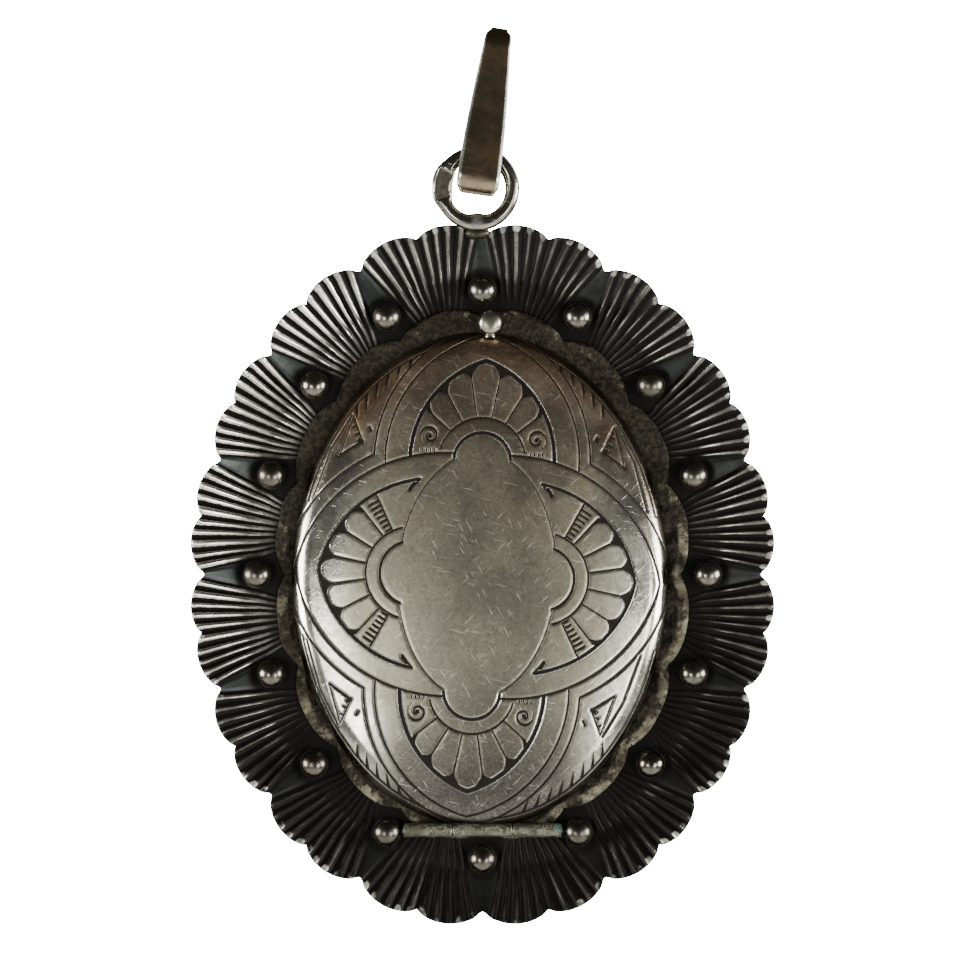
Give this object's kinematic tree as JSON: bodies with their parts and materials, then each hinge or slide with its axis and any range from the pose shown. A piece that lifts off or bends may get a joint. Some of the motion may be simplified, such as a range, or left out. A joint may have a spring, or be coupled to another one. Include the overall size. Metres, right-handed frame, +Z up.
{
  "type": "oval locket",
  "caption": "Oval pendant locket with a domed engraved cover hinged at its foot, a fluted frame with beads, a soldered ring and a swinging bail for a chain.",
  "frame": {"origin": "middle of the flat back of the case", "axes": "+Z up towards the ring and bail, -Y out of the front, +X to the right as seen from the front"},
  "size_m": [0.0456, 0.0066, 0.07],
  "materials": {
    "oxidised_silver": "silver with black oxidised grooves and worn bright ridges",
    "bead_silver": "darkened silver beads, polished by wear",
    "case_silver": "tarnished silver, fine scratches",
    "gilt_ledge": "dull gilt, grimy",
    "gilt_bezel": "gilt, protected from wear",
    "card": "aged plain card",
    "glass": "clear, polished",
    "ring_silver": "polished silver, lightly tarnished",
    "hinge_gilt": "worn gilt silver with verdigris",
    "pin_steel": "dull drawn wire",
    "engraved_silver": "warm grey silver, engraved, finely scratched",
    "rim_silver": "drawn silver strip",
    "nib_silver": "polished by the thumb",
    "bail_silver": "brown patina with bright worn edges"
  },
  "bodies": {
    "case": {"back_plate": "case_silver", "case_wall": "case_silver", "inner_collar": "gilt_ledge", "front_ledge": "gilt_ledge", "fluted_frame": "oxidised_silver", "bead_01": "bead_silver", "bead_02": "bead_silver", "bead_03": "bead_silver", "bead_04": "bead_silver", "bead_05": "bead_silver", "bead_06": "bead_silver", "bead_07": "bead_silver", "bead_08": "bead_silver", "bead_09": "bead_silver", "bead_10": "bead_silver", "bead_11": "bead_silver", "bead_12": "bead_silver", "bead_13": "bead_silver", "bead_14": "bead_silver", "bead_15": "bead_silver", "bead_16": "bead_silver", "top_ring": "ring_silver", "case_knuckle_left": "hinge_gilt", "case_knuckle_right": "hinge_gilt", "hinge_pin": "pin_steel", "picture_card": "card", "picture_glass": "glass", "picture_bezel": "gilt_bezel"},
    "cover": {"front_cover": "engraved_silver", "cover_snap_rim": "rim_silver", "cover_knuckle": "hinge_gilt", "thumb_nib": "nib_silver"},
    "bail": {"bail": "bail_silver"}
  },
  "joints": [
    {"name": "cover_open", "type": "hinge", "parent": "case", "child": "cover", "pos_m": [0, -0.0039, -0.01995], "axis": [1, 0, 0], "range_deg": [0, 115]},
    {"name": "bail_swing", "type": "hinge", "parent": "case", "child": "bail", "pos_m": [-0.00009, -0.0043, 0.03245], "axis": [0.9903, 0, -0.1392], "range_deg": [-150, 150]}
  ]
}
